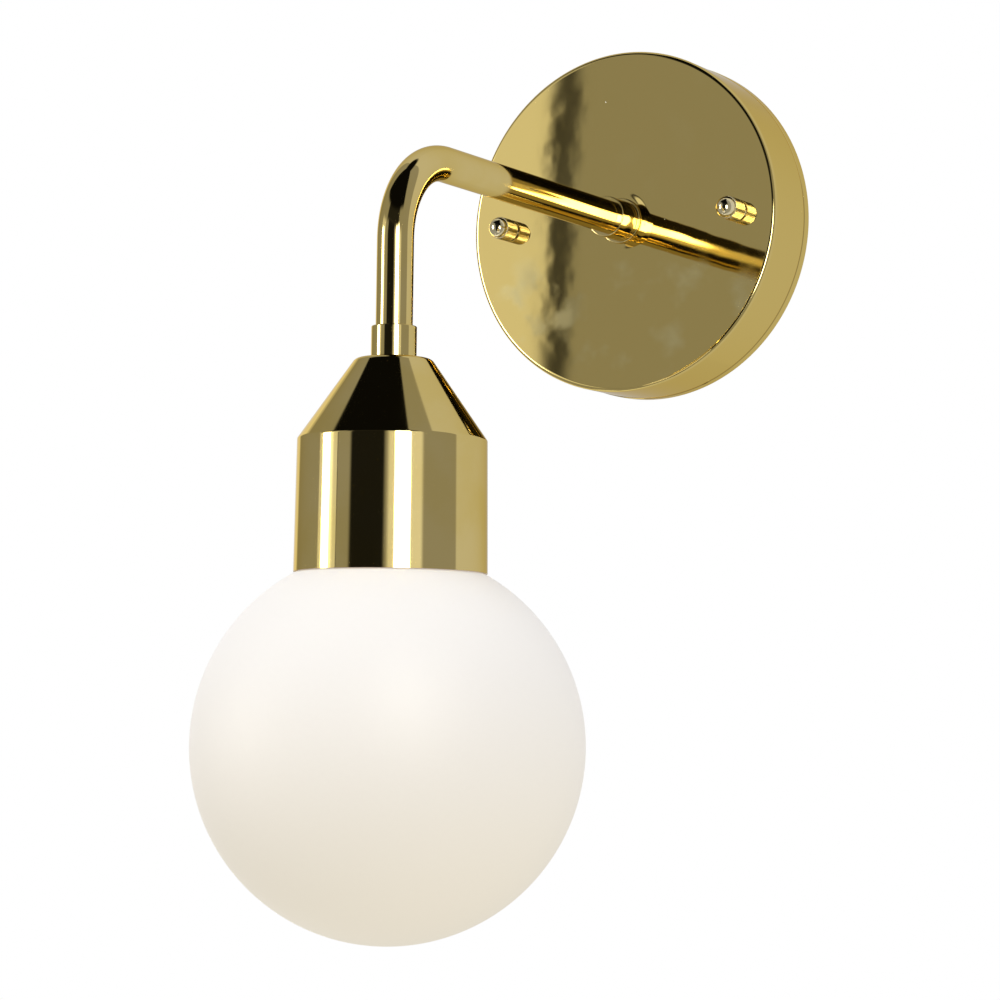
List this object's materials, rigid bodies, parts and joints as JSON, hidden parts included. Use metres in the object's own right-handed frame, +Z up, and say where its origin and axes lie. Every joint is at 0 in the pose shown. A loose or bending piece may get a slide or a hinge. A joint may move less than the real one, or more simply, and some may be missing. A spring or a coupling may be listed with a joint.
{
  "type": "globe wall sconce",
  "caption": "Brass wall light with a round canopy, a bent tube arm and a cone-topped cup that holds an opal glass globe over a push-in lamp.",
  "frame": {"origin": "where the arm's axis meets the wall: the centre of the two wall screw slots, on the plane that the strap and the canopy's rear edge rest on", "axes": "+Y into the wall, +Z up, +X to the right as seen from the room; the arm runs out along -Y and the globe hangs down at y = -169 mm"},
  "size_m": [0.12, 0.229, 0.3034],
  "materials": {
    "polished_brass": "polished, lacquered",
    "plain_brass": "as turned",
    "zinc_steel": "bright zinc plated",
    "opal_glass": "satin opal",
    "clear_nylon": "natural nylon",
    "silicone": "translucent white silicone",
    "white_polyamide": "moulded",
    "steatite": "unglazed white ceramic",
    "contact_bronze": "spring strip",
    "tinned_copper": "tinned",
    "bulb_plastic": "moulded",
    "frosted_cover": "frosted",
    "board_white": "solder-masked board",
    "chip_yellow": "phosphor",
    "brown_sheath": "extruded sheath",
    "blue_sheath": "extruded sheath",
    "green_yellow_sheath": "extruded sheath, green with a yellow stripe"
  },
  "bodies": {
    "lamp": {"canopy": "polished_brass", "arm_base_ring": "polished_brass", "wall_collar": "polished_brass", "arm_tube": "polished_brass", "drop_collar": "polished_brass", "cup": "polished_brass", "wall_nipple": "plain_brass", "drop_nipple": "plain_brass", "fitter_ring": "plain_brass", "terminal_sleeves": "plain_brass", "wall_nipple_nut": "plain_brass", "cup_lock_nut": "plain_brass", "bracket_nut": "plain_brass", "mounting_strap": "zinc_steel", "stud_screws": "zinc_steel", "stud_lock_nuts": "zinc_steel", "wall_lock_washer": "zinc_steel", "cup_lock_washer": "zinc_steel", "lampholder_bracket": "zinc_steel", "lampholder_screws": "zinc_steel", "terminal_screws": "zinc_steel", "terminal_fixing_screws": "zinc_steel", "earth_washer": "zinc_steel", "earth_screw": "zinc_steel", "wall_wire_bush": "clear_nylon", "drop_wire_bush": "clear_nylon", "terminal_block": "white_polyamide", "lampholder_body": "steatite", "lampholder_contacts": "contact_bronze", "lower_earth_tag": "tinned_copper", "upper_earth_tag": "tinned_copper", "arm_earth_tag": "tinned_copper", "live_wire": "brown_sheath", "neutral_wire": "blue_sheath", "earth_lead_down": "green_yellow_sheath", "earth_lead_up": "green_yellow_sheath"},
    "globe_seal": {"globe_gasket": "silicone"},
    "globe": {"globe": "opal_glass"},
    "left_washer": {"left_cap_washer": "clear_nylon"},
    "left_nut": {"left_cap_nut": "polished_brass"},
    "right_washer": {"right_cap_washer": "clear_nylon"},
    "right_nut": {"right_cap_nut": "polished_brass"},
    "bulb": {"bulb_base": "bulb_plastic", "bulb_pins": "tinned_copper", "bulb_board": "board_white", "bulb_chips": "chip_yellow", "bulb_cover": "frosted_cover"}
  },
  "joints": [
    {"name": "globe_travel", "type": "slide", "parent": "lamp", "child": "globe_seal", "axis": [0, 0, -1], "range_m": [0, 0.0105]},
    {"name": "globe_turn", "type": "hinge", "parent": "globe_seal", "child": "globe", "pos_m": [0, -0.169, -0.1834], "axis": [0, 0, -1], "range_deg": [0, 1080]},
    {"name": "left_nut_travel", "type": "slide", "parent": "lamp", "child": "left_washer", "axis": [0, -1, 0], "range_m": [0, 0.0049]},
    {"name": "left_nut_turn", "type": "hinge", "parent": "left_washer", "child": "left_nut", "pos_m": [-0.045, -0.03, 0], "axis": [0, -1, 0], "range_deg": [0, 2520.5]},
    {"name": "right_nut_travel", "type": "slide", "parent": "lamp", "child": "right_washer", "axis": [0, -1, 0], "range_m": [0, 0.0049]},
    {"name": "right_nut_turn", "type": "hinge", "parent": "right_washer", "child": "right_nut", "pos_m": [0.045, -0.03, 0], "axis": [0, -1, 0], "range_deg": [0, 2520.5]},
    {"name": "bulb_pull", "type": "slide", "parent": "lamp", "child": "bulb", "axis": [0, 0, -1], "range_m": [0, 0.016]}
  ],
  "couplings": [
    {"joint": "globe_travel", "follows": "globe_turn", "m_per_rad": 0.00055704},
    {"joint": "left_nut_turn", "follows": "left_nut_travel", "rad_per_m": 8976},
    {"joint": "right_nut_turn", "follows": "right_nut_travel", "rad_per_m": 8976}
  ]
}
